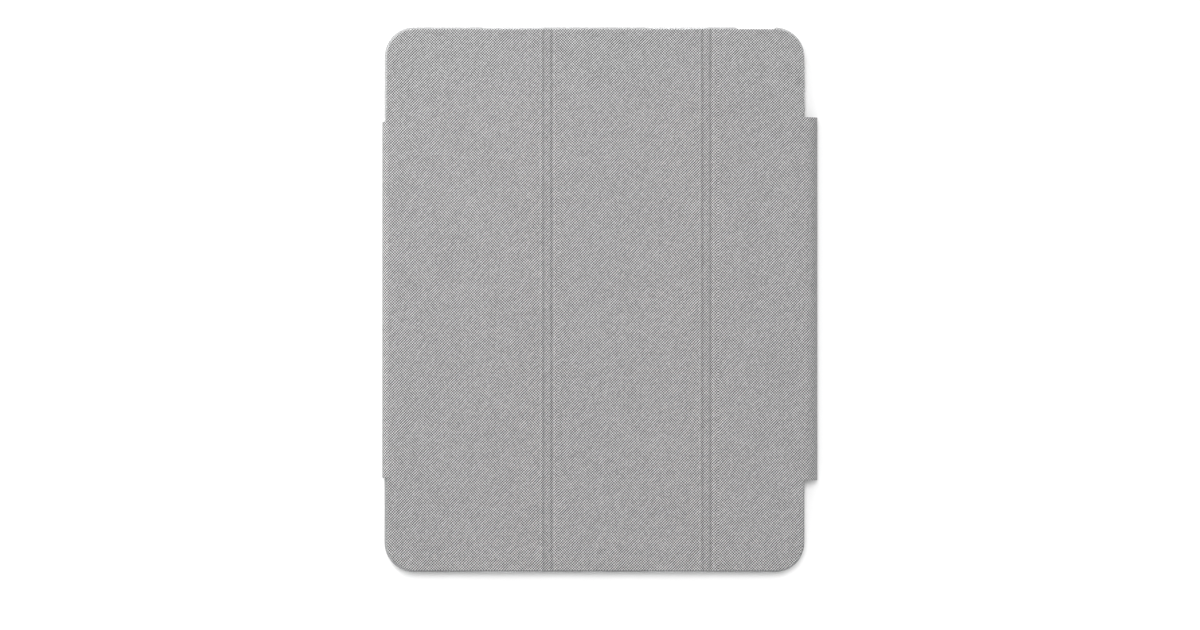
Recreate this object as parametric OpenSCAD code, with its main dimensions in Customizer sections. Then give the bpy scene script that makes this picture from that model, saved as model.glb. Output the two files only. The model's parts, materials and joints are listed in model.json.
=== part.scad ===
// Tri-fold tablet folio case: a clear shell with a woven three-panel cover,
// a flexible spine on the left and a magnetic closure flap that wraps the
// stylus on the right. The case lies on its back, cover up, in millimetres.
// X runs from the spine to the closure, Y towards the top of the tablet,
// Z from the back of the shell to the front of the cover.

/* [Tablet] */
// Width of the tablet that the case holds
tablet_w = 214.9; // [200:0.1:230]
// Height of the tablet
tablet_h = 280.6; // [270:0.1:295]
// Thickness of the tablet
tablet_t = 6.4; // [5.5:0.1:7]
// Diameter of the stylus kept at the tablet's right edge
stylus_d = 8.9; // [8.5:0.1:9]

/* [Shell] */
// Wall of the clear bumper
wall_t = 2.6; // [2.4:0.1:3.5]
// Gap between the tablet and the bumper on each side
pocket_gap = 0.2; // [0.1:0.1:0.4]
// Outer corner radius of the bumper
shell_r = 15.6; // [12:0.1:18]
// How far the rim stands proud of the back plate
rim_proud = 1.2; // [1.1:0.1:1.6]
// Thickness of the hard back plate
plate_t = 1.2; // [1:0.1:1.5]
// Thickness of the front lip
lip_t = 0.7; // [0.5:0.1:1]
// How far the front lip reaches over the tablet
lip_in = 1.3; // [0.8:0.1:2]

/* [Cutouts] */
// Side of the square camera window
camera_w = 35; // [30:0.5:36]
// Distance of the camera's centre from the tablet's top and right edges
camera_in = 21.5; // [20:0.5:22]
// Wall of the camera guard ring
guard_t = 1.8; // [1.2:0.1:2]
// Width of the charging port slot
port_w = 16; // [12:0.5:20]
// Length of one speaker slot
speaker_w = 34; // [20:0.5:36]
// Distance of a speaker slot's centre from the centre line
speaker_x = 43; // [40:0.5:45]
// Height of the side slots
slot_h = 4.6; // [4.2:0.1:5]
// Centre of the top button's scoop across the case
top_button_x = 84.7; // [80:0.1:88]
// Width of the scoop at the outside of the rail
scoop_w = 22; // [20:0.5:24]
// Width of the scoop at its floor
scoop_floor_w = 16.8; // [15:0.1:18]
// Depth of the scoop
scoop_d = 1.4; // [1:0.1:1.6]

/* [Volume buttons] */
// Length of one button cap
cap_l = 11.2; // [9:0.1:11.4]
// Height of one button cap
cap_h = 3.2; // [2.5:0.1:3.6]
// How far a cap stands out of the rail
cap_proud = 0.4; // [0.3:0.1:0.8]
// Distance between the two caps' centres
cap_pitch = 12.3; // [12.2:0.1:14]
// Height of the caps' midpoint above the centre of the case
caps_y = 110.75; // [108:0.05:112]

/* [Cover] */
// Width of the cover between its outer edges
cover_w = 218.8; // [214:0.1:220]
// Height of the cover
cover_h = 284; // [280:0.1:286]
// How far the cover sits to the right of the shell's centre
cover_dx = 0.3; // [0:0.1:0.4]
// Corner radius of the cover
cover_r = 15; // [10:0.1:16]
// Air between the front lip and the cover
cover_gap = 0.3; // [0.3:0.1:1]
// Thickness of the microfibre lining
lining_t = 0.4; // [0.3:0.1:0.5]
// Thickness of the panel boards
board_t = 1.4; // [1.2:0.1:1.6]
// Thickness of the woven outer fabric
fabric_t = 0.6; // [0.5:0.1:0.7]
// Where the first fold band's centre line is
fold_1_x = -24.6; // [-30:0.1:-20]
// Where the second fold band's centre line is
fold_2_x = 58.8; // [54:0.1:62]
// Distance between the board edges at a fold band
band_w = 7; // [6:0.1:9]
// Distance between the two pressed lines of a band
line_pitch = 4.2; // [3.6:0.1:4.6]
// Width of a pressed line
line_w = 0.9; // [0.5:0.1:1.2]
// Depth of a pressed line
line_d = 0.3; // [0.2:0.05:0.4]

/* [Spine] */
// Length of the spine
spine_l = 187; // [170:0.5:188]
// How far the spine stands out of the shell's left side
spine_out = 1.15; // [1.1:0.05:1.4]
// Thickness of the spine's board
spine_board_t = 0.9; // [0.7:0.1:1]
// Width of the strip that bonds the cover to the back plate
anchor_w = 17; // [12:0.5:20]

/* [Closure] */
// Length of the closure flap
flap_l = 190.6; // [180:0.1:191]
// How far the flap sits above the centre of the case
flap_dy = 0.5; // [0:0.1:0.6]
// Outer radius of the flap's front bend
front_bend_r = 6.5; // [6:0.1:6.6]
// Width of the stiff tab that lies on the tablet's back
tab_w = 13; // [10:0.5:16]
// Air around the tab in its notch
notch_gap = 0.5; // [0.4:0.1:0.8]

/* [Magnets] */
// Length of a magnet
magnet_l = 12; // [8:0.5:14]
// Width of a magnet
magnet_w = 5; // [4:0.5:6]
// Number of magnets in the closure tab
tab_magnet_count = 6; // [2:1:8]
// Number of magnets along panel 3's free edge
cover_magnet_count = 4; // [2:1:6]
// Number of stand magnets in panel 1
stand_magnet_count = 2; // [2:1:4]

/* [Hidden] */

// Round outlines
$fn = 96;
// A cut runs this far past what it cuts
over = 1;

// Colours
clear_col = "whitesmoke";
fabric_col = "darkgray";
lining_col = "gainsboro";
board_col = "tan";
magnet_col = "silver";

// Levels above the resting plane
plate_z = rim_proud;
floor_z = plate_z + plate_t;
lip_z = floor_z + tablet_t + 0.1;
rail_top_z = lip_z + lip_t;
cover_z = rail_top_z + cover_gap;
board_z = cover_z + lining_t;
fabric_z = board_z + board_t;
cover_top_z = fabric_z + fabric_t;
mid_z = floor_z + tablet_t / 2;

// Outlines of the shell
pocket_w = tablet_w + 2 * pocket_gap;
pocket_h = tablet_h + 2 * pocket_gap;
pocket_r = shell_r - wall_t;
shell_w = pocket_w + 2 * wall_t;
shell_h = pocket_h + 2 * wall_t;
// The back plate's edge is buried this far in the bumper's foot
plate_in = 0.65;
// The bumper's foot overlaps the plate by this much
foot_lap = 1.4;
camera_x = tablet_w / 2 - camera_in;
camera_y = tablet_h / 2 - camera_in;
camera_r = 9;

// Buttons
cap_clear = 0.25;
flange_t = 0.7;
flange_extra = 0.8;
cap_inner_x = pocket_w / 2 + 0.45;

// Spine
spine_x = -shell_w / 2 - spine_out;
spine_fabric_x = spine_x + fabric_t;
spine_board_x = spine_fabric_x + spine_board_t;
spine_inner_x = spine_board_x + lining_t;
recess_x = spine_inner_x + 0.4;
recess_l = spine_l + 1;
// The hinge lines lie this far inside the fabric's outer faces
crease_in = 0.5;
// Rigid solids stop this far from a hinge line
crease_clear = 0.9;
flap_under_z = 0.2;
back_hinge_z = flap_under_z + crease_in;
front_hinge_z = cover_top_z - crease_in;
crease_edge_x = spine_x + crease_in + 0.7;

// Cover
cover_left_x = cover_dx - cover_w / 2;
cover_right_x = cover_dx + cover_w / 2;
edge_wrap = 0.7;
board_in = 0.8;
half_gap = 0.15;
riser_t = 0.4;

// Closure
bend_fabric_t = 0.4;
bend_stiffener_t = 0.2;
bend_lining_t = 0.2;
bend_t = bend_fabric_t + bend_stiffener_t + bend_lining_t;
stylus_gap = 0.05;
flap_x = tablet_w / 2 + stylus_d + stylus_gap + bend_t;
front_bend_x = flap_x - front_bend_r;
front_bend_z = cover_top_z - front_bend_r;
// The back bend starts where the front bend ends
back_bend_z = front_bend_z;
back_bend_r = back_bend_z - flap_under_z;
back_bend_x = flap_x - back_bend_r;
// The hinge lines cross the bends at this angle from the X axis
hinge_angle = 48.5;
// Solids stop this many degrees short of a hinge line
hinge_clear = 1.6;
tab_right_x = tablet_w / 2 + 1;
tab_left_x = tab_right_x - tab_w;
notch_x = tab_left_x - notch_gap;
notch_l = flap_l + 2 * notch_gap;

// Magnets
magnet_clear = 0.1;
tab_magnet_t = 0.7;
cover_magnet_t = 1;
tab_magnet_x = (tab_left_x + tab_right_x) / 2 - 0.3;
tab_board_z = flap_under_z + fabric_t;
tab_board_t = 0.9;
tab_magnet_z = tab_board_z + (tab_board_t - tab_magnet_t) / 2;
cover_magnet_x = cover_right_x - 7;
stand_magnet_x = cover_left_x + 9;
cover_magnet_z = board_z + (board_t - cover_magnet_t) / 2;

// ---------------------------------------------------------------- outlines

// Rectangle with true round corners, centred on the origin
module rounded_rect(w, h, r) {
    square([w - 2 * r, h], center = true);
    square([w, h - 2 * r], center = true);
    for (sx = [-1, 1], sy = [-1, 1])
        translate([sx * (w / 2 - r), sy * (h / 2 - r)])
            circle(r);
}

// Solid slab with round corners
module slab(w, h, r, z0, z1) {
    translate([0, 0, z0])
        linear_extrude(z1 - z0)
            rounded_rect(w, h, r);
}

// Slot through the top or bottom wall, with round ends
module wall_slot(x, y, w) {
    translate([x, y + 10, mid_z])
        rotate([90, 0, 0])
            linear_extrude(20)
                rounded_rect(w, slot_h, slot_h / 2 - 0.1);
}

// Box given by its low and high corners
module span(low, high) {
    translate(low)
        cube(high - low);
}

// ------------------------------------------------------------------- shell

// Room for the closure flap and its tab, through the plate and the right wall
module flap_notch() {
    span([notch_x, flap_dy - notch_l / 2, -over],
         [shell_w / 2 + over, flap_dy + notch_l / 2, rail_top_z + over]);
}

module back_plate() {
    color(clear_col)
        difference() {
            slab(pocket_w - 2 * plate_in, pocket_h - 2 * plate_in,
                 pocket_r - plate_in, plate_z, floor_z);
            flap_notch();
            translate([camera_x, camera_y, 0])
                slab(camera_w + 2 * guard_t, camera_w + 2 * guard_t,
                     camera_r + guard_t, -over, floor_z + over);
        }
}

module camera_guard() {
    color(clear_col)
        translate([camera_x, camera_y, 0])
            difference() {
                slab(camera_w + 2 * guard_t, camera_w + 2 * guard_t,
                     camera_r + guard_t, 0, floor_z);
                slab(camera_w, camera_w, camera_r, -over, floor_z + over);
            }
}

// The scoop in the top rail, and the window that it leads to
module top_button_cut() {
    translate([top_button_x, shell_h / 2, -over])
        linear_extrude(rail_top_z + 2 * over)
            polygon([[-scoop_w / 2, 0.1], [-scoop_floor_w / 2, -scoop_d],
                     [scoop_floor_w / 2, -scoop_d], [scoop_w / 2, 0.1]]);
    wall_slot(top_button_x, shell_h / 2 - wall_t, scoop_floor_w - 1.8);
}

// One button's slot through the right wall, with a seat for the cap's flange
module cap_slot(y) {
    translate([shell_w / 2, y, mid_z])
        rotate([0, 90, 0])
            linear_extrude(2 * wall_t + 2, center = true)
                rounded_rect(cap_h + 2 * cap_clear, cap_l + 2 * cap_clear,
                             cap_h / 2);
    span([pocket_w / 2 - over, y - cap_l / 2 - cap_clear,
          mid_z - cap_h / 2 - flange_extra - cap_clear],
         [cap_inner_x + flange_t + cap_clear, y + cap_l / 2 + cap_clear,
          mid_z + cap_h / 2 + flange_extra + cap_clear]);
}

// The bumper's foot, wall and lip before its openings are cut
module bumper_body() {
    plate_w = pocket_w - 2 * plate_in;
    plate_h = pocket_h - 2 * plate_in;
    difference() {
        slab(shell_w, shell_h, shell_r, 0, rail_top_z);
        slab(plate_w - 2 * foot_lap, plate_h - 2 * foot_lap,
             pocket_r - plate_in - foot_lap, -over, plate_z);
        slab(plate_w, plate_h, pocket_r - plate_in, plate_z, floor_z);
        slab(pocket_w, pocket_h, pocket_r, floor_z, lip_z);
        slab(pocket_w - 2 * lip_in, pocket_h - 2 * lip_in,
             pocket_r - lip_in, lip_z, rail_top_z + over);
    }
}

// Room for the spine beside the left wall and for its anchor under the plate
module spine_recess() {
    span([-shell_w / 2 - over, -recess_l / 2, -over],
         [recess_x, recess_l / 2, rail_top_z + over]);
    span([-shell_w / 2 - over, -recess_l / 2, -over],
         [recess_x + anchor_w + 3, recess_l / 2, plate_z]);
}

module bumper_frame() {
    color(clear_col)
        difference() {
            bumper_body();
            flap_notch();
            spine_recess();
            top_button_cut();
            wall_slot(0, -shell_h / 2, port_w);
            for (sx = [-1, 1], sy = [-1, 1])
                wall_slot(sx * speaker_x, sy * shell_h / 2, speaker_w);
            for (s = [-1, 1])
                cap_slot(caps_y + s * cap_pitch / 2);
        }
}

// A button cap: a pad outside the wall and a flange inside it
module volume_cap(y) {
    color(clear_col)
        translate([0, y, mid_z]) {
            translate([cap_inner_x, 0, 0])
                rotate([0, 90, 0])
                    linear_extrude(shell_w / 2 + cap_proud - cap_inner_x)
                        rounded_rect(cap_h, cap_l, cap_h / 2 - 0.1);
            span([cap_inner_x, -cap_l / 2 + 1.4, -cap_h / 2 - flange_extra],
                 [cap_inner_x + flange_t, cap_l / 2 - 1.4, cap_h / 2 + flange_extra]);
        }
}

module volume_up_cap() {
    volume_cap(caps_y + cap_pitch / 2);
}

module volume_down_cap() {
    volume_cap(caps_y - cap_pitch / 2);
}

// ------------------------------------------------------------------- spine

// A strip as long as the spine, given by its section's corners
module spine_strip(x0, x1, z0, z1, l) {
    span([x0, -l / 2, z0], [x1, l / 2, z1]);
}

module anchor_fabric() {
    color(fabric_col)
        spine_strip(crease_edge_x, crease_edge_x + anchor_w,
                    flap_under_z, flap_under_z + fabric_t, spine_l);
}

module anchor_board() {
    color(board_col)
        spine_strip(recess_x + 0.5, crease_edge_x + anchor_w - 1,
                    flap_under_z + fabric_t, plate_z, spine_l - 4);
}

module spine_layer(x0, x1, inset) {
    spine_strip(x0, x1, back_hinge_z + crease_clear + inset,
                front_hinge_z - crease_clear - inset, spine_l - 2 * inset);
}

module spine_fabric() {
    color(fabric_col)
        spine_layer(spine_x, spine_fabric_x, 0);
}

module spine_board() {
    color(board_col)
        spine_layer(spine_fabric_x, spine_board_x, 0.6);
}

module spine_lining() {
    color(lining_col)
        spine_layer(spine_board_x, spine_inner_x, 0);
}

// ------------------------------------------------------------------ panels

// The part of the cover's outline between two lines, pulled in by an inset
module cover_part(x0, x1, inset) {
    intersection() {
        translate([cover_dx, 0])
            rounded_rect(cover_w - 2 * inset, cover_h - 2 * inset,
                         cover_r - inset);
        translate([x0, -cover_h])
            square([x1 - x0, 2 * cover_h]);
    }
}

// Outer fabric of a panel: a shallow tray that wraps the cover's free edges
module panel_fabric(x0, x1) {
    difference() {
        translate([0, 0, cover_z])
            linear_extrude(cover_top_z - cover_z)
                cover_part(x0, x1, 0);
        translate([0, 0, cover_z - over])
            linear_extrude(fabric_z - cover_z + over)
                cover_part(x0 - over, x1 + over, edge_wrap);
    }
}

// The two pressed lines of a fold band
module pressed_lines(x) {
    for (s = [-1, 1])
        span([x + s * line_pitch / 2 - line_w / 2, -cover_h, cover_top_z - line_d],
             [x + s * line_pitch / 2 + line_w / 2, cover_h, cover_top_z + over]);
}

// Lining of a panel; beside a fold it steps up behind the fabric
module panel_lining(x0, x1, left_fold, right_fold) {
    board_x0 = left_fold ? x0 + band_w / 2 - half_gap : x0;
    board_x1 = right_fold ? x1 - band_w / 2 + half_gap : x1;
    translate([0, 0, cover_z])
        linear_extrude(lining_t)
            cover_part(board_x0 - (left_fold ? riser_t : 0),
                       board_x1 + (right_fold ? riser_t : 0), edge_wrap);
    if (left_fold)
        lining_flange(x0, board_x0, board_x0 - riser_t, board_x0);
    if (right_fold)
        lining_flange(board_x1, x1, board_x1, board_x1 + riser_t);
}

// The stepped part: a flange under the fabric and a riser at the board's edge
module lining_flange(x0, x1, riser_x0, riser_x1) {
    translate([0, 0, fabric_z - lining_t])
        linear_extrude(lining_t)
            cover_part(x0, x1, edge_wrap);
    translate([0, 0, cover_z])
        linear_extrude(fabric_z - cover_z)
            cover_part(riser_x0, riser_x1, edge_wrap);
}

module panel_board(x0, x1) {
    translate([0, 0, board_z])
        linear_extrude(board_t)
            cover_part(x0, x1, board_in);
}

// A row of flat magnets along Y, or the pockets that they sit in
module magnet_row(x, z, t, count, length, grow) {
    pitch = length / count;
    for (i = [0 : count - 1])
        translate([x, (i - (count - 1) / 2) * pitch, z + t / 2])
            cube([magnet_w + 2 * grow, magnet_l + 2 * grow, t + 2 * grow],
                 center = true);
}

module cover_magnets(grow) {
    magnet_row(cover_magnet_x, cover_magnet_z, cover_magnet_t,
               cover_magnet_count, cover_h - 40, grow);
}

module stand_magnets(grow) {
    magnet_row(stand_magnet_x, cover_magnet_z, cover_magnet_t,
               stand_magnet_count, cover_h / 2, grow);
}

module tab_magnets(grow) {
    translate([0, flap_dy, 0])
        magnet_row(tab_magnet_x, tab_magnet_z, tab_magnet_t,
                   tab_magnet_count, flap_l, grow);
}

// Panel 1 carries the flange that turns over the spine's front hinge line
module panel_1_fabric() {
    color(fabric_col)
        difference() {
            union() {
                panel_fabric(cover_left_x - over, fold_1_x - half_gap);
                spine_strip(crease_edge_x, cover_left_x + 3, fabric_z,
                            cover_top_z, spine_l);
            }
            pressed_lines(fold_1_x);
            spine_strip(cover_left_x - over, cover_left_x + edge_wrap,
                        cover_z - over, fabric_z, recess_l);
        }
}

module panel_1_board() {
    color(board_col)
        difference() {
            panel_board(cover_left_x - over, fold_1_x - band_w / 2);
            stand_magnets(magnet_clear);
        }
}

module panel_1_lining() {
    color(lining_col) {
        panel_lining(cover_left_x - over, fold_1_x - half_gap, false, true);
        spine_strip(crease_edge_x, cover_left_x + board_in, fabric_z - lining_t,
                    fabric_z, spine_l);
        spine_strip(cover_left_x + board_in - riser_t, cover_left_x + board_in,
                    cover_z, fabric_z, spine_l);
    }
}

module panel_1_magnets() {
    color(magnet_col)
        stand_magnets(0);
}

module panel_2_fabric() {
    color(fabric_col)
        difference() {
            panel_fabric(fold_1_x + half_gap, fold_2_x - half_gap);
            pressed_lines(fold_1_x);
            pressed_lines(fold_2_x);
        }
}

module panel_2_board() {
    color(board_col)
        panel_board(fold_1_x + band_w / 2, fold_2_x - band_w / 2);
}

module panel_2_lining() {
    color(lining_col)
        panel_lining(fold_1_x + half_gap, fold_2_x - half_gap, true, true);
}

// Panel 3 carries the first part of the closure's front bend
module panel_3_fabric() {
    color(fabric_col)
        difference() {
            union() {
                panel_fabric(fold_2_x + half_gap, cover_right_x + over);
                closure_strip(cover_right_x - 3, front_bend_x,
                              fabric_z, cover_top_z);
                front_bend(90, hinge_angle + hinge_clear, 0, bend_fabric_t);
            }
            pressed_lines(fold_2_x);
            closure_strip(cover_right_x - edge_wrap, front_bend_x - 0.3,
                          cover_z - over, fabric_z);
        }
}

module panel_3_board() {
    color(board_col)
        difference() {
            panel_board(fold_2_x + band_w / 2, cover_right_x + over);
            cover_magnets(magnet_clear);
        }
}

module panel_3_lining() {
    color(lining_col) {
        panel_lining(fold_2_x + half_gap, cover_right_x + over, true, false);
        closure_strip(cover_right_x - board_in, front_bend_x,
                      fabric_z - lining_t, fabric_z);
        closure_strip(cover_right_x - board_in, cover_right_x - board_in + riser_t,
                      cover_z, fabric_z);
        front_bend(90, hinge_angle + hinge_clear, bend_fabric_t, bend_t);
    }
}

module panel_3_magnets() {
    color(magnet_col)
        cover_magnets(0);
}

// ----------------------------------------------------------------- closure

// A strip as long as the flap, given by its section's corners
module closure_strip(x0, x1, z0, z1) {
    span([x0, flap_dy - flap_l / 2, z0], [x1, flap_dy + flap_l / 2, z1]);
}

// Arc layer of a bend: r_out - depth0 down to r_out - depth1, a1 to a0 degrees
module bend(cx, cz, r_out, a0, a1, depth0, depth1) {
    reach = 2 * r_out;
    translate([cx, flap_dy + flap_l / 2, cz])
        rotate([90, 0, 0])
            linear_extrude(flap_l)
                intersection() {
                    difference() {
                        circle(r_out - depth0);
                        circle(r_out - depth1);
                    }
                    polygon([[0, 0],
                             [reach * cos(a0), reach * sin(a0)],
                             [reach * cos((a0 + a1) / 2), reach * sin((a0 + a1) / 2)],
                             [reach * cos(a1), reach * sin(a1)]]);
                }
}

module front_bend(a0, a1, depth0, depth1) {
    bend(front_bend_x, front_bend_z, front_bend_r, a0, a1, depth0, depth1);
}

module back_bend(a0, a1, depth0, depth1) {
    bend(back_bend_x, back_bend_z, back_bend_r, a0, a1, depth0, depth1);
}

// One layer of the side strip: it runs round the stylus between the hinge lines
module side_layer(depth0, depth1, inset) {
    front_bend(hinge_angle - hinge_clear - inset, 0, depth0, depth1);
    back_bend(0, -hinge_angle + hinge_clear + inset, depth0, depth1);
}

module closure_side_fabric() {
    color(fabric_col)
        side_layer(0, bend_fabric_t, 0);
}

module closure_side_stiffener() {
    color(board_col)
        side_layer(bend_fabric_t, bend_fabric_t + bend_stiffener_t, 4);
}

module closure_side_lining() {
    color(lining_col)
        side_layer(bend_fabric_t + bend_stiffener_t, bend_t, 0);
}

// The tab's fabric turns up round the board on its free edge
module closure_tab_fabric() {
    color(fabric_col) {
        closure_strip(tab_left_x, tab_right_x, flap_under_z,
                      flap_under_z + fabric_t);
        closure_strip(tab_left_x, tab_left_x + edge_wrap, flap_under_z,
                      tab_board_z + tab_board_t);
        closure_strip(tab_right_x, back_bend_x, flap_under_z,
                      flap_under_z + bend_fabric_t);
        back_bend(-hinge_angle - hinge_clear, -90, 0, bend_fabric_t);
    }
}

module closure_tab_board() {
    color(board_col)
        difference() {
            span([tab_left_x + board_in, flap_dy - flap_l / 2 + board_in, tab_board_z],
                 [tab_right_x - 0.6, flap_dy + flap_l / 2 - board_in,
                  tab_board_z + tab_board_t]);
            tab_magnets(magnet_clear);
        }
}

module closure_tab_lining() {
    color(lining_col) {
        closure_strip(tab_left_x, tab_right_x, tab_board_z + tab_board_t,
                      tab_board_z + tab_board_t + lining_t);
        closure_strip(tab_right_x - riser_t, tab_right_x, tab_board_z,
                      tab_board_z + tab_board_t);
        closure_strip(tab_right_x, back_bend_x, flap_under_z + bend_fabric_t,
                      flap_under_z + 2 * bend_fabric_t);
        back_bend(-hinge_angle - hinge_clear, -90, bend_fabric_t,
                  2 * bend_fabric_t);
    }
}

module closure_tab_magnets() {
    color(magnet_col)
        tab_magnets(0);
}

back_plate();
bumper_frame();
camera_guard();
anchor_fabric();
anchor_board();
volume_up_cap();
volume_down_cap();
spine_fabric();
spine_board();
spine_lining();
panel_1_fabric();
panel_1_board();
panel_1_lining();
panel_1_magnets();
panel_2_fabric();
panel_2_board();
panel_2_lining();
panel_3_fabric();
panel_3_board();
panel_3_lining();
panel_3_magnets();
closure_side_fabric();
closure_side_stiffener();
closure_side_lining();
closure_tab_fabric();
closure_tab_board();
closure_tab_lining();
closure_tab_magnets();
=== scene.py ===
import json
import math

import bmesh
import bpy
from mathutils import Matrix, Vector


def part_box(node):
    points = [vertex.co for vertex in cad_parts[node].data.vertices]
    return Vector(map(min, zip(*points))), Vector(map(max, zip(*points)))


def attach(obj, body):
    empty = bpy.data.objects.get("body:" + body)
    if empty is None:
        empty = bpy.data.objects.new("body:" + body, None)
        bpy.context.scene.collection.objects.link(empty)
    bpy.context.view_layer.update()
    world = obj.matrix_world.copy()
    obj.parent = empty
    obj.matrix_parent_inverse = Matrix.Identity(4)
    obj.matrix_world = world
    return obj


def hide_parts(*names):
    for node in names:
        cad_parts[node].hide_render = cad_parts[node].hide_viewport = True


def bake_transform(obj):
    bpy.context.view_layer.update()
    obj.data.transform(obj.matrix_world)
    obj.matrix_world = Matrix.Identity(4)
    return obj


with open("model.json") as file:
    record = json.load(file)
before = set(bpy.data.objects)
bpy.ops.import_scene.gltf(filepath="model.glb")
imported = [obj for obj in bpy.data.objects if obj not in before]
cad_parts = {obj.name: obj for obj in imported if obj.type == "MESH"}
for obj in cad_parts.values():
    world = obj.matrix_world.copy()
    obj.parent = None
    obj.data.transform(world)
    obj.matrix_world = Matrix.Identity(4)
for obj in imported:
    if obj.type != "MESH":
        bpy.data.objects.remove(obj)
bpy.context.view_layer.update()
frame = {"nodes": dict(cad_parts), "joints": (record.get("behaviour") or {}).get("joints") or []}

# The woven cover, its lining and its clear shell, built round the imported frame.
# Helpers work in millimetres; MM turns them into Blender's metres.
MM = 0.001
JOINTS = {joint["name"]: joint for joint in frame["joints"]}


def low(node):
    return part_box(node)[0] / MM


def high(node):
    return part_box(node)[1] / MM


def pivot(joint):
    return Vector(JOINTS[joint]["pos_m"]) / MM


# ---------------------------------------------------------------- dimensions

TOP = high("panel_2_fabric").z
UNDER = low("panel_2_fabric").z
HALF_H = high("panel_2_fabric").y
# The woven skin wraps the boards' edges by this much
EDGE_WRAP = 0.8
LEFT = low("panel_1_board").x - EDGE_WRAP
RIGHT = high("panel_3_board").x + EDGE_WRAP
CORNER_R = 15.0
FOLDS = (pivot("fold_1").x, pivot("fold_2").x)
BAND_HALF = low("panel_2_board").x - FOLDS[0]

SPINE_X = low("spine_fabric").x
SPINE_HALF = high("spine_fabric").y
SPINE_FRONT_R = 2.4
SPINE_BACK_R = 2.0
ANCHOR_X = high("anchor_fabric").x

FLAP_X = high("closure_side_fabric").x
FLAP_LOW = low("closure_side_fabric").y
FLAP_HIGH = high("closure_side_fabric").y
FLAP_UNDER = low("closure_tab_fabric").z
TAB_X = low("closure_tab_fabric").x
TAB_BOARD_X = high("closure_tab_board").x
SPINE_MID_Z = (TOP + FLAP_UNDER) / 2
# The closure's hinge lines cross its bends at this angle from the X axis
HINGE_ANGLE = math.radians(48.5)
FRONT_R = (TOP - pivot("closure_front").z) / (1 - math.sin(HINGE_ANGLE))
BACK_R = (pivot("closure_back").z - FLAP_UNDER) / (1 - math.sin(HINGE_ANGLE))
BEND_Z = TOP - FRONT_R

# Thicknesses of the woven skin with the board or strip in it
PANEL_T = 2.2
BAND_T = 0.65
CREASE_T = 0.6
SPINE_T = 1.5
TAB_T = 1.5
SIDE_T = 0.55
ANCHOR_T = 0.98
# On the way from a board to a crease, at a panel's edge and in a strip
PANEL_TAPER_T = 1.4
STRIP_TAPER_T = 1.1
LINING_T = 0.35
CLOSURE_LINING_T = 0.22

# How deep the lining's visible face lies below the skin's outer face
LINING_FACE = TOP - UNDER
BAND_LINING = 1.05
CREASE_LINING = 0.95
SPINE_LINING = 1.9
SIDE_LINING = 0.8
TAB_LINING = 1.9
PANEL_TAPER_LININGS = [1.6, 1.0]
STRIP_TAPER_LINING = 1.4

# The spine's and the flap's strips join the panels this far from the cover's edge
JOIN_IN = 2.2
# A band's own pieces reach this far from the fold's centre line
BAND_REACH = 6.0
# The lining's edge lies this far inside the cover's edge, and inside a strip's edge
LINING_IN = 1.8
STRIP_LINING_IN = 0.6
# The lining's window for a strip is this much shorter than the strip at each end
WINDOW_IN = 0.6
# Steps round a crease's arc, and round a bend of the closure
CREASE_STEPS = 12
BEND_STEPS = 40
# Radius of the closure tab's free edge
TAB_ROUND = 0.6
# How far a turned edge is painted lighter, below 0: wear, and a painted highlight where the edge curves
# away
EDGE_MARK = -0.5


# ------------------------------------------------------------- mesh building


def build_mesh(name, verts, faces, uvs, pressed=None):
    """A closed mesh from millimetre corners, with one UV per face corner, also in millimetres."""
    mesh = bpy.data.meshes.new(name)
    mesh.from_pydata([Vector(v) * MM for v in verts], [], faces)
    layer = mesh.uv_layers.new(name="weave")
    flat = [value for corner in uvs for pair in corner for value in pair]
    layer.data.foreach_set("uv", flat)
    # Per corner: painted shade above 0, painted highlight and wear below 0
    mark = mesh.attributes.new("pressed", "FLOAT", "POINT")
    mark.data.foreach_set("value", pressed or [0.0] * len(verts))
    bm = bmesh.new()
    bm.from_mesh(mesh)
    bmesh.ops.remove_doubles(bm, verts=bm.verts, dist=1e-7)
    bmesh.ops.recalc_face_normals(bm, faces=bm.faces)
    bm.to_mesh(mesh)
    bm.free()
    smooth_by_angle(mesh, 40)
    piece = bpy.data.objects.new(name, mesh)
    bpy.context.scene.collection.objects.link(piece)
    return piece


def smooth_by_angle(mesh, degrees):
    mesh.shade_smooth()
    mesh.set_sharp_from_angle(angle=math.radians(degrees))


def rolled_edge(thick, r_top, r_under, flat, steps=6):
    """Section of a turned edge: (inset, depth) pairs from the top face round to the underside."""
    pairs = [(r_top + flat, 0.0)]
    for k in range(steps + 1):
        a = math.pi / 2 * k / steps
        pairs.append((r_top * (1 - math.sin(a)), r_top * (1 - math.cos(a))))
    for k in range(steps + 1):
        a = math.pi / 2 * k / steps
        pairs.append((r_under * (1 - math.cos(a)), thick - r_under * (1 - math.sin(a))))
    pairs.append((r_under + flat, thick))
    return pairs


def arc_lengths(pairs):
    """Running length along a list of points."""
    total, lengths = 0.0, []
    for k, pair in enumerate(pairs):
        if k:
            total += math.dist(pair, pairs[k - 1])
        lengths.append(total)
    return lengths


def plate(name, outline, top, section, down=1):
    """A plate with turned edges. top is the height of its first face, and down is -1 for a plate
    that is built upwards. outline holds (x, y, nx, ny), with the inward direction, or 0, 0 at an
    open edge."""
    along = arc_lengths(section)
    verts, tex, pressed = [], [], []
    first = section[0][0]
    for (inset, depth), run in zip(section, along):
        for x, y, nx, ny in outline:
            verts.append((x + nx * inset, y + ny * inset, top - down * depth))
            tex.append((x + nx * (first - run), y + ny * (first - run)))
            pressed.append(edge_highlight_and_wear(depth, section[-1][1]))
    n, rings = len(outline), len(section)
    faces = [list(range(n))]
    for ring in range(rings - 1):
        for k in range(n):
            a, b = ring * n + k, ring * n + (k + 1) % n
            faces.append([a, b, b + n, a + n])
    faces.append(list(range((rings - 1) * n, rings * n)))
    uvs = [[tex[i] for i in face] for face in faces[:-1]]
    uvs.append([verts[i][:2] for i in faces[-1]])
    return build_mesh(name, verts, faces, uvs, pressed)


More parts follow.
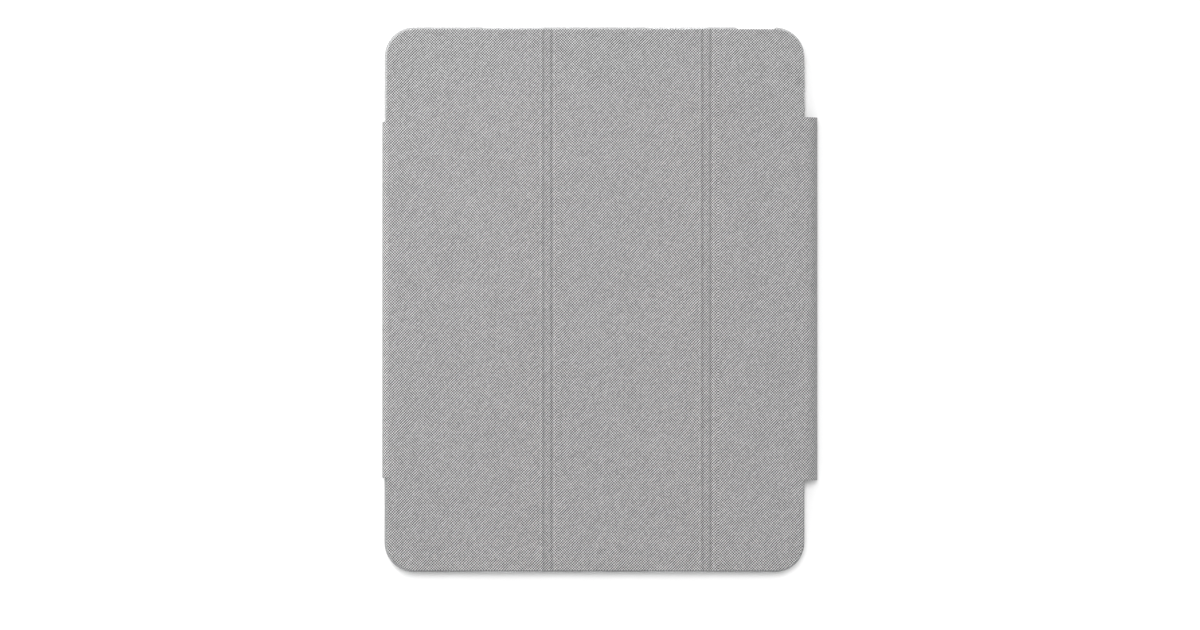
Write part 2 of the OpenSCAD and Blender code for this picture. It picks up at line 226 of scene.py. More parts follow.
def edge_highlight_and_wear(depth, thick):
    """The turned edge, between the two faces, is painted lighter: wear, and a painted highlight where
    it curves away.
    """
    return EDGE_MARK if 0.0 < depth < thick else 0.0


def station(x, z, nx=0.0, nz=1.0, t=PANEL_T, mark=0.0):
    """One step of a strip's path: a point of its outer face, the way that face looks, the strip's
    thickness there, and its painted mark: painted shade above 0, a painted highlight and wear below 0."""
    return {"x": x, "z": z, "nx": nx, "nz": nz, "t": t, "mark": mark}


def arc(cx, cz, r, a0, a1, steps, t, mark=0.0):
    """Stations round an arc, from a0 to a1 degrees."""
    found = []
    for k in range(steps + 1):
        a = math.radians(a0 + (a1 - a0) * k / steps)
        c, s = math.cos(a), math.sin(a)
        found.append(station(cx + r * c, cz + r * s, c, s, t, mark))
    return found


def path_length(path):
    return arc_lengths([(step["x"], step["z"]) for step in path])[-1]


def behind(path, depths, t):
    """The lining's path: the face that looks away from the fabric, at these depths behind it.
    It ends where the depths do."""
    found = []
    for step, depth in zip(path, depths):
        nx, nz = step["nx"], step["nz"]
        found.append(station(step["x"] - nx * depth, step["z"] - nz * depth, -nx, -nz, t))
    return found


def sweep(name, path, y_low, y_high, section, u_start, u_sign=1):
    """A closed strip along a path in the XZ plane, with the section's turned edges at both its ends."""
    along = arc_lengths(section)
    thick, first = section[-1][1], section[0][0]
    loop = [(y_low + i, d) for i, d in section]
    loop += [(y_high - i, d) for i, d in reversed(section)]
    tex_v = [y_low + first - run for run in along]
    tex_v += [y_high - first + run for run in reversed(along)]
    half, n = len(section), len(loop)
    run_u = arc_lengths([(s["x"], s["z"]) for s in path])
    verts, pressed = [], []
    for s in path:
        for y, depth in loop:
            d = depth * s["t"] / thick
            verts.append((s["x"] - s["nx"] * d, y, s["z"] - s["nz"] * d))
            pressed.append(s["mark"] + edge_highlight_and_wear(depth, thick))
    faces, uvs = [], []
    for i in range(len(path) - 1):
        u0, u1 = (u_start + u_sign * run_u[j] for j in (i, i + 1))
        for k in range(n):
            m = (k + 1) % n
            faces.append([i * n + k, i * n + m, (i + 1) * n + m, (i + 1) * n + k])
            v0, v1 = (loop[k][0], loop[m][0]) if k == half - 1 else (tex_v[k], tex_v[m])
            uvs.append([(u0, v0), (u0, v1), (u1, v1), (u1, v0)])
    for i in (0, len(path) - 1):
        faces.append([i * n + k for k in range(n)])
        uvs.append([(path[i]["x"], y) for y, d in loop])
    return build_mesh(name, verts, faces, uvs, pressed)


def point(x, z, y=0.0):
    """A point of the frame in metres, from millimetres."""
    return Vector((x, y, z)) * MM


# ----------------------------------------------------------------- materials


class Nodes:
    """Short names for building one material's node tree."""

    def __init__(self, name):
        self.material = bpy.data.materials.new(name)
        self.material.use_nodes = True
        self.tree = self.material.node_tree
        self.shader = self.tree.nodes["Principled BSDF"]

    def add(self, kind, **settings):
        node = self.tree.nodes.new(kind)
        for key, value in settings.items():
            setattr(node, key, value)
        return node

    def link(self, out, socket):
        self.tree.links.new(out, socket)

    def feed(self, node, values):
        """Sets or links a node's inputs, in order."""
        for socket, value in zip(node.inputs, values):
            if isinstance(value, (int, float)):
                socket.default_value = value
            else:
                self.link(value, socket)
        return node.outputs[0]

    def math(self, operation, *values):
        return self.feed(self.add("ShaderNodeMath", operation=operation), values)

    def plus(self, a, b):
        return self.math("ADD", a, b)

    def minus(self, a, b):
        return self.math("SUBTRACT", a, b)

    def times(self, a, b):
        return self.math("MULTIPLY", a, b)

    def swing(self, value, amount):
        """A value from 0 to 1, as a change of up to half the amount either way."""
        return self.times(self.minus(value, 0.5), amount)

    def rise(self, base, value, amount):
        """The base, raised by a value times an amount."""
        return self.plus(base, self.times(value, amount))

    def vector(self, x, y):
        return self.feed(self.add("ShaderNodeCombineXYZ"), (x, y, 0.0))

    def noise(self, vector, scale, detail):
        node = self.add("ShaderNodeTexNoise", noise_dimensions="3D")
        self.link(vector, node.inputs["Vector"])
        node.inputs["Scale"].default_value = scale
        node.inputs["Detail"].default_value = detail
        return node.outputs[0]

    def place(self):
        """The point's place on the object, in metres."""
        return self.add("ShaderNodeTexCoord").outputs["Object"]

    def weave_map(self):
        """The point's place on the flat cloth, in millimetres."""
        return self.add("ShaderNodeUVMap", uv_map="weave").outputs[0]

    def tint(self, colour, factor):
        """The colour times a factor, into the base colour."""
        node = self.add("ShaderNodeVectorMath", operation="SCALE")
        node.inputs[0].default_value = colour
        self.link(factor, node.inputs["Scale"])
        self.link(node.outputs[0], self.shader.inputs["Base Color"])

    def rough(self, value):
        self.link(value, self.shader.inputs["Roughness"])

    def bump(self, height, distance, strength):
        node = self.add("ShaderNodeBump")
        node.inputs["Distance"].default_value = distance
        node.inputs["Strength"].default_value = strength
        self.link(height, node.inputs["Height"])
        self.link(node.outputs[0], self.shader.inputs["Normal"])

    def set(self, **values):
        for key, value in values.items():
            self.shader.inputs[key.replace("_", " ")].default_value = value


# The weave: its mean colour, and the yarns' pitch and drift in millimetres
CLOTH_GREY = (0.190, 0.190, 0.191)
WARP_PITCH = 0.705
WEFT_PITCH = 0.725
YARN_DRIFT = 0.30
# How fine each pattern is, in cycles for a millimetre or, for the diagonal ones, for a yarn
DRIFT_FINE = 0.35
FIBRE_ACROSS = 9.0
FIBRE_ALONG = 1.6
LEAN_FINE = 0.05
STROKE_ALONG = 0.06
STROKE_ACROSS = 0.45
PATCH_FINE = 0.035
# The rising diagonal shows more where its noise is above the middle
LEAN_MIDDLE = 0.42
LEAN = 0.7
# Above 1, a crossing's dot gets a flat middle and a sharper edge
DOT_SHARPNESS = 2.4
# How high the crossings stand, in metres
RELIEF = 0.00013
# How much each thing changes the cloth's tone, of 1
DOT_CONTRAST = 0.82
SHADE_CONTRAST = 0.18
SHADE_SWING = 0.34
STROKE_SWING = 0.45
PATCH_SWING = 0.10
FIBRE_SWING = 0.9
# How strongly the painted shade darkens, and the painted highlight and wear lighten, the cloth
PAINTED_LIGHT_AND_WEAR_STRENGTH = 0.20
DARKEST = 0.06


def wander(m, uv, value, offset):
    """A yarn's coordinate, drifting a little so that no yarn is dead straight."""
    shifted = m.add("ShaderNodeVectorMath", operation="ADD")
    m.link(uv, shifted.inputs[0])
    shifted.inputs[1].default_value = (offset, offset, 0.0)
    return m.plus(value, m.swing(m.noise(shifted.outputs[0], DRIFT_FINE, 2.0), YARN_DRIFT))


def strands(m, u, v, fine_u, fine_v):
    """Noise drawn out into the fibres of a yarn."""
    return m.noise(m.vector(m.times(u, fine_u), m.times(v, fine_v)), 1.0, 2.0)


def crossings(m, warp, weft):
    """From -1, dark weft on top, to 1, light warp on top: the sum of the two diagonal waves, with
    patches where the rising one shows more."""
    total, gap = m.plus(warp, weft), m.minus(warp, weft)
    rising = m.math("COSINE", m.times(gap, math.pi))
    falling = m.math("COSINE", m.times(total, math.pi))
    patches = m.noise(m.vector(total, gap), LEAN_FINE, 3.0)
    lean = m.times(m.minus(patches, LEAN_MIDDLE), LEAN)
    return m.minus(m.times(rising, m.plus(0.5, lean)), m.times(falling, m.minus(0.5, lean)))


def crossing_shade(m, warp, weft):
    """Each crossing has its own shade."""
    shade = m.add("ShaderNodeTexWhiteNoise", noise_dimensions="2D")
    cell = m.vector(m.math("FLOOR", warp), m.math("FLOOR", weft))
    m.link(cell, shade.inputs["Vector"])
    return shade.outputs[0]


def yarn_fibres(m, u, v, dots):
    """Fibres run along V in the light yarns and along U in the dark ones."""
    lit = m.rise(0.5, dots, 0.5)
    light = m.times(strands(m, u, v, FIBRE_ACROSS, FIBRE_ALONG), lit)
    dark = m.times(strands(m, u, v, FIBRE_ALONG, FIBRE_ACROSS), m.minus(1.0, lit))
    return m.minus(m.plus(light, dark), 0.5)


def diagonal_strokes(m, warp, weft):
    """Yarn tone drifts in short strokes along the rising diagonal."""
    along = m.times(m.plus(warp, weft), STROKE_ALONG)
    across = m.times(m.minus(warp, weft), STROKE_ACROSS)
    return m.noise(m.vector(along, across), 1.0, 2.0)


def woven_fabric():
    """Two-tone grey plain weave: light warp over dark weft, with yarns that vary and drift."""
    m = Nodes("woven_grey_fabric")
    uv = m.weave_map()
    split = m.add("ShaderNodeSeparateXYZ")
    m.link(uv, split.inputs[0])
    # The offset lets the two sets of yarns drift on their own
    u = wander(m, uv, split.outputs[0], 0.0)
    v = wander(m, uv, split.outputs[1], 40.0)
    warp = m.math("DIVIDE", u, WARP_PITCH)
    weft = m.math("DIVIDE", v, WEFT_PITCH)
    crossing = crossings(m, warp, weft)
    dots = m.math("MINIMUM", m.math("MAXIMUM", m.times(crossing, DOT_SHARPNESS), -1.0), 1.0)
    shade = crossing_shade(m, warp, weft)
    fibres = yarn_fibres(m, u, v, dots)
    tone = m.plus(1.0, m.times(dots, m.rise(DOT_CONTRAST, shade, SHADE_CONTRAST)))
    tone = m.plus(tone, m.swing(shade, SHADE_SWING))
    tone = m.plus(tone, m.swing(diagonal_strokes(m, warp, weft), STROKE_SWING))
    tone = m.plus(tone, m.swing(m.noise(uv, PATCH_FINE, 2.0), PATCH_SWING))
    tone = m.rise(tone, fibres, FIBRE_SWING)
    # Painted shade darkens the heat-pressed lines, and a painted highlight, with wear, lightens the
    # turned edges, the ridges and the spine's crease
    pressed = m.add("ShaderNodeAttribute", attribute_name="pressed").outputs["Fac"]
    tone = m.times(tone, m.minus(1.0, m.times(pressed, PAINTED_LIGHT_AND_WEAR_STRENGTH)))
    m.tint(CLOTH_GREY, m.math("MAXIMUM", tone, DARKEST))
    # Each crossing swells in its middle
    crown = m.math("POWER", m.math("ABSOLUTE", crossing), 0.6)
    m.bump(m.rise(crown, fibres, 0.7), RELIEF, 0.7)
    m.set(Roughness=0.86, Sheen_Weight=0.08, Sheen_Roughness=0.45, Specular_IOR_Level=0.25)
    return m.material


def lining_fabric():
    """Brushed microfibre: a short nap with soft darker strokes."""
    m = Nodes("brushed_microfibre")
    uv = m.weave_map()
    nap = m.noise(uv, 2.2, 4.0)
    strokes = m.noise(uv, 0.05, 2.0)
    m.tint((0.36, 0.36, 0.37), m.rise(m.rise(0.80, nap, 0.22), strokes, 0.22))
    m.bump(nap, 0.00008, 0.6)
    m.set(Roughness=0.95, Sheen_Weight=0.5, Sheen_Roughness=0.4, Specular_IOR_Level=0.15)
    return m.material


def clear_tpu():
    """Soft clear rubber, faintly milky and cloudy."""
    m = Nodes("clear_tpu")
    cloud = m.noise(m.place(), 60.0, 2.0)
    m.tint((0.56, 0.565, 0.57), m.rise(0.94, cloud, 0.12))
    m.rough(m.rise(0.16, cloud, 0.12))
    m.set(IOR=1.46, Transmission_Weight=0.74)
    return m.material


def clear_polycarbonate():
    """Polished clear plate with a hard coat."""
    m = Nodes("clear_polycarbonate")
    smear = m.noise(m.place(), 14.0, 3.0)
    m.rough(m.rise(0.03, smear, 0.07))
    m.set(Base_Color=(0.95, 0.96, 0.97, 1), IOR=1.52, Transmission_Weight=0.95, Coat_Weight=0.4)
    return m.material


def grey_board():
    """Rigid board with short flecks of fibre."""
    m = Nodes("grey_board")
    fleck = m.noise(m.place(), 1600.0, 4.0)
    m.tint((0.32, 0.29, 0.25), m.rise(0.75, fleck, 0.5))
    m.bump(fleck, 0.00005, 0.4)
    m.set(Roughness=0.9)
    return m.material


def polyester_strip():
    """Thin stiffener strip, milky and smooth."""
    m = Nodes("polyester_strip")
    cloud = m.noise(m.place(), 220.0, 2.0)
    m.tint((0.62, 0.62, 0.60), m.rise(0.9, cloud, 0.2))
    m.set(Roughness=0.4)
    return m.material


def nickel_plate():
    """Nickel-plated magnet with a fine brushed grain."""
    m = Nodes("nickel_plate")
    grain = m.noise(m.place(), 2600.0, 2.0)
    m.rough(m.rise(0.22, grain, 0.2))
    m.set(Base_Color=(0.66, 0.65, 0.63, 1), Metallic=1.0)
    return m.material


def studio_floor():
    """Plain white floor, which the lights burn out."""
    m = Nodes("white_floor")
    m.set(Base_Color=(0.68, 0.68, 0.68, 1), Roughness=0.9, Specular_IOR_Level=0.1)
    return m.material


FABRIC = woven_fabric()
LINING = lining_fabric()
TPU = clear_tpu()
PC = clear_polycarbonate()
BOARD = grey_board()
STRIP = polyester_strip()
NICKEL = nickel_plate()


def finish_piece(piece, material):
    piece.data.materials.clear()
    piece.data.materials.append(material)
    return piece


def fabric(piece):
    return finish_piece(piece, FABRIC)


def lining(piece):
    return finish_piece(piece, LINING)


# ---------------------------------------------------------------- the panels

PANEL_EDGE = rolled_edge(PANEL_T, 0.55, 0.5, 0.5)
LINING_EDGE = rolled_edge(LINING_T, 0.2, 0.05, 0.3, 4)
STRIP_EDGE = rolled_edge(CREASE_T, 0.3, 0.2, 0.4, 4)

# A fold band sinks a little between the boards, over this width at each board's end
BAND_DROP = 0.10
BAND_STEP = 0.7
# Its two pressed lines: distance from its centre, half width, depth, and how far they pinch the cloth
LINE_HALF_PITCH = 2.1
LINE_HALF_W = 0.55
LINE_DEPTH = 0.42
LINE_PINCH = 0.28
# The low ridge beside it, over the board's end, which is painted lighter: a painted highlight, and wear
RIDGE_OUT = 0.1
RIDGE_HALF_W = 0.45
RIDGE_H = 0.05
RIDGE_HIGHLIGHT_AND_WEAR = 0.65


def layers(
    fabric_name,
    lining_name,
    path,
    depths,
    y_low,
    y_high,
    u_start,
    u_sign=1,
    edge=STRIP_EDGE,
    lining_in=STRIP_LINING_IN,
    lining_t=LINING_T,
):
    """A woven strip along a path, and the lining at these depths behind it."""
    outer = fabric(sweep(fabric_name, path, y_low, y_high, edge, u_start, u_sign))
    under = behind(path, depths, lining_t)
    y_low, y_high = y_low + lining_in, y_high - lining_in
    inner = lining(sweep(lining_name, under, y_low, y_high, LINING_EDGE, u_start, u_sign))
    return outer, inner


def corner(cx, cy, r, a0, a1, steps=18):
    """Outline points round a corner, with their inward directions."""
    found = []
    for k in range(steps + 1):
        a = math.radians(a0 + (a1 - a0) * k / steps)
        c, s = math.cos(a), math.sin(a)
        found.append((cx + r * c, cy + r * s, -c, -s))
    return found


def end_panel_outline(side, split, edge, join, y_low, y_high, inset=0.0, window_in=0.0):
    """Outline of panel 1 (side -1) or panel 3 (side 1): round corners, turned free edges and an open
    window where the spine's or the flap's strip leaves it."""
    h, r = HALF_H - inset, CORNER_R - inset
    x = edge - side * inset
    cx, cy = x - side * r, h - r
    y_low, y_high = y_low + window_in, y_high - window_in
    top_arc = (90, 180) if side < 0 else (90, 0)
    low_arc = (180, 270) if side < 0 else (0, -90)
    outline = [(split, h, 0, -1)]
    outline += corner(cx, cy, r, *top_arc)
    outline += [(x, y_high, -side, 0), (join, y_high, 0, 0)]
    outline += [(join, y_low, 0, 0), (x, y_low, -side, 0)]
    outline += corner(cx, -cy, r, *low_arc)
    outline += [(split, -h, 0, 1)]
    return outline


def smooth(value):
    value = min(1.0, max(0.0, value))
    return value * value * (3 - 2 * value)


def swell(distance, half_width):
    """A soft bell of height 1."""
    return math.exp(-((distance / half_width) ** 2))


def band_surface(x, fold):
    """(drop, thickness, lining depth, painted shade and highlight) of the cover across a fold band."""
    off = abs(x - fold)
    step = smooth((BAND_HALF + BAND_STEP / 2 - off) / BAND_STEP)
    line = swell(off - LINE_HALF_PITCH, LINE_HALF_W)
    ridge = swell(off - BAND_HALF - RIDGE_OUT, RIDGE_HALF_W)
    drop = BAND_DROP * step + LINE_DEPTH * line - RIDGE_H * ridge
    thick = PANEL_T + (BAND_T - PANEL_T) * step - LINE_PINCH * line
    depth = LINING_FACE + (BAND_LINING - LINING_FACE) * step - drop
    # Painted shade darkens the pressed lines, and a painted highlight, with wear, lightens the ridges
    return drop, thick, depth, line - RIDGE_HIGHLIGHT_AND_WEAR * ridge


def band_path(fold, steps=80):
    """Outer path and lining depths across a fold band."""
    path, depths = [], []
    for k in range(steps + 1):
        x = fold - BAND_REACH + 2 * BAND_REACH * k / steps
        drop, thick, depth, press = band_surface(x, fold)
        path.append(station(x, TOP - drop, t=thick, mark=press))
        depths.append(depth)
    return path, depths


def make_fold_band(number):
    fold = FOLDS[number - 1]
    path, depths = band_path(fold)
    pieces = layers(
        f"fold_band_{number}_fabric",
        f"fold_band_{number}_lining",
        path,
        depths,
        -HALF_H,
        HALF_H,
        fold - BAND_REACH,
        edge=PANEL_EDGE,
        lining_in=LINING_IN,
    )
    for piece in pieces:
        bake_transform(piece)


def make_end_panel(number, side, edge, y_low, y_high):
    """Panel 1 or panel 3: the fabric's turned edges and the lining inside them."""
    split = FOLDS[0] - BAND_REACH if side < 0 else FOLDS[1] + BAND_REACH
    join = edge - side * JOIN_IN
    body = f"panel_{number}"
    outline = end_panel_outline(side, split, edge, join, y_low, y_high)
    outer = fabric(plate(f"{body}_outer_fabric", outline, TOP, PANEL_EDGE))
    outline = end_panel_outline(side, split, edge, join, y_low, y_high, LINING_IN, WINDOW_IN)
    inner = lining(plate(f"{body}_inner_lining", outline, UNDER, LINING_EDGE, down=-1))
    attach(outer, body)
    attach(inner, body)
    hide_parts(f"{body}_fabric")
    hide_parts(f"{body}_lining")


def make_middle_panel():
    x0, x1 = FOLDS[0] + BAND_REACH, FOLDS[1] - BAND_REACH
    outer, inner = layers(
        "panel_2_outer_fabric",
        "panel_2_inner_lining",
        [station(x0, TOP), station(x1, TOP)],
        [LINING_FACE, LINING_FACE],
        -HALF_H,
        HALF_H,
        x0,
        edge=PANEL_EDGE,
        lining_in=LINING_IN,
    )
    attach(outer, "panel_2")
    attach(inner, "panel_2")
    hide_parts("panel_2_fabric")
    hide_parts("panel_2_lining")


# ----------------------------------------------------------------- the spine

# Along the spine's side, the skin grows to the spine's thickness between these distances from a crease
GROW_FROM = 0.3
GROW_TO = 0.7


def leave_panel(edge, side, highlight_and_wear=0.0):
    """The first stations and lining depths of a strip, from its join with a panel towards the
    panel's edge, where its thickness falls to the crease's."""
    path = [
        station(edge - side * JOIN_IN, TOP),
        # Towards the crease the skin is painted lighter by the given amount: a painted highlight where
        # it curves away, and wear
        station(edge - side * 1.0, TOP, mark=-0.3 * highlight_and_wear),
        station(edge - side * 0.75, TOP, t=PANEL_TAPER_T, mark=-0.5 * highlight_and_wear),
        station(edge - side * 0.5, TOP, t=CREASE_T, mark=-0.7 * highlight_and_wear),
    ]
    return path, [LINING_FACE, LINING_FACE] + PANEL_TAPER_LININGS


def spine_front_path():
    """From panel 1's join over the front crease to the middle of the spine."""
    path, depths = leave_panel(LEFT, -1, highlight_and_wear=1.0)
    r = SPINE_FRONT_R
    # The front crease is painted lighter: a painted highlight where it curves away, and wear
    path += arc(SPINE_X + r, TOP - r, r, 90, 180, CREASE_STEPS, CREASE_T, mark=-0.9)
    depths += [CREASE_LINING] * (CREASE_STEPS + 1)
    path += [
        station(SPINE_X, TOP - r - GROW_FROM, -1, 0, t=STRIP_TAPER_T),
        station(SPINE_X, TOP - r - GROW_TO, -1, 0, t=SPINE_T),
        station(SPINE_X, SPINE_MID_Z, -1, 0, t=SPINE_T),
    ]
    depths += [STRIP_TAPER_LINING, SPINE_LINING, SPINE_LINING]
    return path, depths


def spine_back_path():
    """From the middle of the spine round the back crease to the anchor's end under the plate. The
    lining ends at the crease."""
    r = SPINE_BACK_R
    path = [
        station(SPINE_X, SPINE_MID_Z, -1, 0, t=SPINE_T),
        station(SPINE_X, FLAP_UNDER + r + GROW_TO, -1, 0, t=SPINE_T),
        station(SPINE_X, FLAP_UNDER + r + GROW_FROM, -1, 0, t=STRIP_TAPER_T),
    ]
    depths = [SPINE_LINING, SPINE_LINING, STRIP_TAPER_LINING]
    path += arc(SPINE_X + r, FLAP_UNDER + r, r, 180, 270, CREASE_STEPS, CREASE_T)
    depths += [CREASE_LINING] * (CREASE_STEPS + 1)
    board_x = low("anchor_board").x
    path += [
        station(board_x - 0.1, FLAP_UNDER, 0, -1, t=CREASE_T),
        station(board_x + 0.2, FLAP_UNDER, 0, -1, t=ANCHOR_T),
        station(ANCHOR_X - 0.6, FLAP_UNDER, 0, -1, t=ANCHOR_T),
        station(ANCHOR_X - 0.25, FLAP_UNDER + 0.06, 0, -1, t=0.9),
        station(ANCHOR_X - 0.06, FLAP_UNDER + 0.24, 0, -1, t=0.7),
        station(ANCHOR_X, FLAP_UNDER + 0.5, 0, -1, t=0.45),
    ]
    return path, depths


def make_spine():
    """The spine in two halves, each with one crease; the back one goes on as the anchor."""
    join = LEFT + JOIN_IN
    path, depths = spine_front_path()
    middle = join - path_length(path)
    names = "spine_front_fabric", "spine_front_lining"
    front, front_lining = layers(*names, path, depths, -SPINE_HALF, SPINE_HALF, join, -1)
    for piece in (front, front_lining):
        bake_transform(piece)
    path, depths = spine_back_path()
    names = "spine_back_fabric", "spine_back_lining"
    back, back_lining = layers(*names, path, depths, -SPINE_HALF, SPINE_HALF, middle, -1)
    for piece in (back, back_lining):
        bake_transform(piece)
    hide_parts("spine_fabric")
    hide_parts("spine_lining")
    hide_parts("anchor_fabric")


# --------------------------------------------------------------- the closure


def closure_front_path():
    """From panel 3's join over the front bend to the middle of the side strip."""
    path, depths = leave_panel(RIGHT, 1)
    path.append(station(RIGHT + 0.2, TOP, t=SIDE_T))
    path += arc(FLAP_X - FRONT_R, BEND_Z, FRONT_R, 90, 0, BEND_STEPS, SIDE_T)
    depths += [SIDE_LINING] * (BEND_STEPS + 2)
    return path, depths


def closure_back_path():
    """From the middle of the side strip round the back bend to the tab's free edge. The lining ends
    where that edge turns."""
    path = arc(FLAP_X - BACK_R, BEND_Z, BACK_R, 0, -90, BEND_STEPS, SIDE_T)
    depths = [SIDE_LINING] * (BEND_STEPS + 1)
    path += [
        station(TAB_BOARD_X + 1.0, FLAP_UNDER, 0, -1, t=SIDE_T),
        station(TAB_BOARD_X + 0.5, FLAP_UNDER, 0, -1, t=STRIP_TAPER_T),
        station(TAB_BOARD_X + 0.2, FLAP_UNDER, 0, -1, t=TAB_T),
        station(TAB_X + 0.9, FLAP_UNDER, 0, -1, t=TAB_T),
    ]
    depths += [SIDE_LINING, STRIP_TAPER_LINING, TAB_LINING, TAB_LINING]
    for part in (0.25, 0.5, 0.75, 1.0):
        a = math.pi / 2 * part
        rise = TAB_ROUND * (1 - math.cos(a))
        x = TAB_X + TAB_ROUND * (1 - math.sin(a))
        path.append(station(x, FLAP_UNDER + rise, 0, -1, t=TAB_T - 1.4 * rise))
    return path, depths


def make_closure():
    """The closure in two halves, each with one bend."""
    join = RIGHT - JOIN_IN
    path, depths = closure_front_path()
    middle = join + path_length(path)
    names = "closure_front_fabric", "closure_front_lining"
    front, front_lining = layers(
        *names, path, depths, FLAP_LOW, FLAP_HIGH, join, lining_t=CLOSURE_LINING_T
    )
    for piece in (front, front_lining):
        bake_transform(piece)
    path, depths = closure_back_path()
    names = "closure_back_fabric", "closure_back_lining"
    back, back_lining = layers(
        *names, path, depths, FLAP_LOW, FLAP_HIGH, middle, lining_t=CLOSURE_LINING_T
    )
    for piece in (back, back_lining):
        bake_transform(piece)
    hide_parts("closure_side_fabric")
    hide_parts("closure_side_lining")
    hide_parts("closure_tab_fabric")
    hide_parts("closure_tab_lining")


# ------------------------------------------------------------------ the shell

# Edges that turn more than this many degrees are softened
SHARP_ANGLE = 35


def refined(node, name, body, material, width, segments=3):
    """The CAD node's own shape as clean faces with softened edges."""
    mesh = bpy.data.meshes.new(name)
    bm = bmesh.new()
    bm.from_mesh(frame["nodes"][node].data)
    bmesh.ops.remove_doubles(bm, verts=bm.verts, dist=1e-6)
    bmesh.ops.dissolve_limit(bm, angle_limit=math.radians(0.5), verts=bm.verts, edges=bm.edges)
    bm.to_mesh(mesh)
    bm.free()
    smooth_by_angle(mesh, SHARP_ANGLE)
    piece = bpy.data.objects.new(name, mesh)
    bpy.context.scene.collection.objects.link(piece)
    bevel = piece.modifiers.new("softened", "BEVEL")
    bevel.width = width * MM
    bevel.segments = segments
    bevel.limit_method = "ANGLE"
    bevel.angle_limit = math.radians(SHARP_ANGLE)
    bevel.use_clamp_overlap = True
    bevel.harden_normals = True
    graph = bpy.context.evaluated_depsgraph_get()
    final = bpy.data.meshes.new_from_object(piece.evaluated_get(graph))
    piece.modifiers.clear()
    piece.data = final
    finish_piece(piece, material)
    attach(piece, body)
    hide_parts(node)
    return piece


def make_shell():
    """The bumper with its ring and caps, and the back plate, which is returned."""
    refined("bumper_frame", "soft_bumper", "shell", TPU, 0.35)
    refined("camera_guard", "camera_guard_ring", "shell", TPU, 0.35)
    back = refined("back_plate", "hard_back_plate", "shell", PC, 0.15, 2)
    refined("volume_up_cap", "volume_up_button", "volume_up", TPU, 0.3)
    refined("volume_down_cap", "volume_down_button", "volume_down", TPU, 0.3)
    return back


def dress_inner_parts():
    """The boards, strips and magnets keep their CAD shapes and get their materials."""
    materials = {"_board": BOARD, "_magnets": NICKEL, "_stiffener": STRIP}
    for name, node in frame["nodes"].items():
        for ending, material in materials.items():
            if name.endswith(ending):
                node.data.materials.clear()
                node.data.materials.append(material)


# ------------------------------------------------------------------ the stage

FRAME_PX = 1200
# Millimetres of the cover's plane that one pixel of the full frame shows
MM_PER_PX = 0.5246
# The shell's centre lies this far left of and above the frame's centre
SHIFT_X = 2.9
SHIFT_Y = 8.0
CAMERA_HEIGHT = 2600.0
SENSOR = 36

# The key light leans towards +Y by its tilt and towards -X by its turn, in degrees
KEY_TILT = 13.0
KEY_TURN = 2.0
KEY_ANGLE = 24.0
KEY_STRENGTH = 2.3
# The near light, in metres and watts
NEAR_PLACE = (-0.38, 0.45, 0.5)
NEAR_SIZE = 0.3
NEAR_POWER = 3.4

FLOOR_R = 7000.0
FLOOR_Z = -0.02
# The floor is open under the object, this far inside the shell's edge and the flap's
FLOOR_INSET = 4.0
FLAP_INSET = 6.2
SHELL_R = 15.6


def make_camera():
    data = bpy.data.cameras.new("camera")
    data.sensor_fit = "HORIZONTAL"
    data.sensor_width = SENSOR
    data.lens = SENSOR * CAMERA_HEIGHT / (FRAME_PX * MM_PER_PX)
    data.clip_end = 20
    camera = bpy.data.objects.new("camera", data)
    bpy.context.scene.collection.objects.link(camera)
    camera.location = point(SHIFT_X, TOP + CAMERA_HEIGHT, -SHIFT_Y)
    bpy.context.scene.camera = camera


def add_light(name, data):
    """A light that glossy faces don't mirror. Clear ones still do."""
    light = bpy.data.objects.new(name, data)
    bpy.context.scene.collection.objects.link(light)
    light.visible_glossy = False
    return light


def make_key_light():
    data = bpy.data.lights.new("key", "SUN")
    data.energy = KEY_STRENGTH
    data.angle = math.radians(KEY_ANGLE)
    light = add_light("key", data)
    light.rotation_euler = (-math.radians(KEY_TILT), -math.radians(KEY_TURN), 0.0)
    return light


def make_near_light():
    data = bpy.data.lights.new("near", "AREA")
    data.shape = "DISK"
    data.size = NEAR_SIZE
    data.energy = NEAR_POWER
    light = add_light("near", data)
    light.location = NEAR_PLACE
    light.rotation_euler = (-light.location).to_track_quat("-Z", "Y").to_euler()
    return light


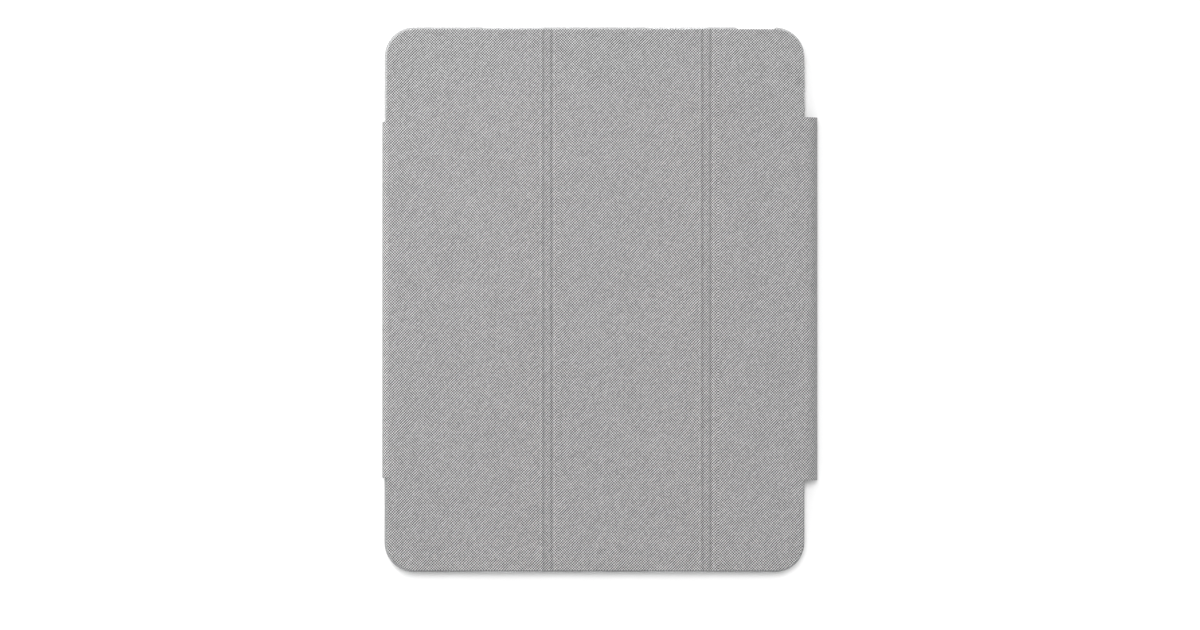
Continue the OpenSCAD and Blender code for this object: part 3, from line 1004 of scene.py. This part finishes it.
def keep_lamps_off(piece, lamps):
    """The lamps leave this piece out, so that its flat clear face doesn't mirror them."""
    spared = bpy.data.collections.new("spared_by_the_lamps")
    spared.objects.link(piece)
    spared.collection_objects[0].light_linking.link_state = "EXCLUDE"
    for lamp in lamps:
        lamp.light_linking.receiver_collection = spared


def floor_opening():
    """The object's footprint, a little inside its edge: the cover folds down through it behind the
    shell."""
    edge = high("bumper_frame")
    x, y, r = edge.x - FLOOR_INSET, edge.y - FLOOR_INSET, SHELL_R - FLOOR_INSET
    flap_x = FLAP_X - FLAP_INSET
    flap_low, flap_high = FLAP_LOW + FLOOR_INSET, FLAP_HIGH - FLOOR_INSET
    outline = [(flap_x, flap_low), (flap_x, flap_high), (x, flap_high)]
    centres = ((x - r, y - r), (r - x, y - r), (r - x, r - y), (x - r, r - y))
    for quarter, (cx, cy) in enumerate(centres):
        turn = 90 * quarter
        outline += [p[:2] for p in corner(cx, cy, r, turn, turn + 90, 8)]
    outline.append((x, flap_low))
    return outline


def make_floor():
    inner = [Vector(p) for p in floor_opening()]
    outer = [p.normalized() * FLOOR_R for p in inner]
    n = len(inner)
    mesh = bpy.data.meshes.new("floor")
    verts = [(p.x * MM, p.y * MM, 0.0) for p in inner + outer]
    mesh.from_pydata(verts, [], [(k, (k + 1) % n, n + (k + 1) % n, n + k) for k in range(n)])
    mesh.materials.append(studio_floor())
    floor = bpy.data.objects.new("floor", mesh)
    bpy.context.scene.collection.objects.link(floor)
    floor.location.z = FLOOR_Z * MM


def make_stage():
    """The floor, the white surroundings and the two lamps, which are returned."""
    make_floor()
    world = bpy.data.worlds.new("studio")
    world.use_nodes = True
    background = world.node_tree.nodes["Background"]
    background.inputs["Color"].default_value = (1, 1, 1, 1)
    background.inputs["Strength"].default_value = 1.0
    scene = bpy.context.scene
    scene.world = world
    scene.view_settings.view_transform = "Standard"
    return [make_key_light(), make_near_light()]


make_camera()
LAMPS = make_stage()
make_end_panel(1, -1, LEFT, -SPINE_HALF, SPINE_HALF)
make_middle_panel()
make_end_panel(3, 1, RIGHT, FLAP_LOW, FLAP_HIGH)
make_fold_band(1)
make_fold_band(2)
make_spine()
make_closure()
BACK_PLATE = make_shell()
keep_lamps_off(BACK_PLATE, LAMPS)
dress_inner_parts()
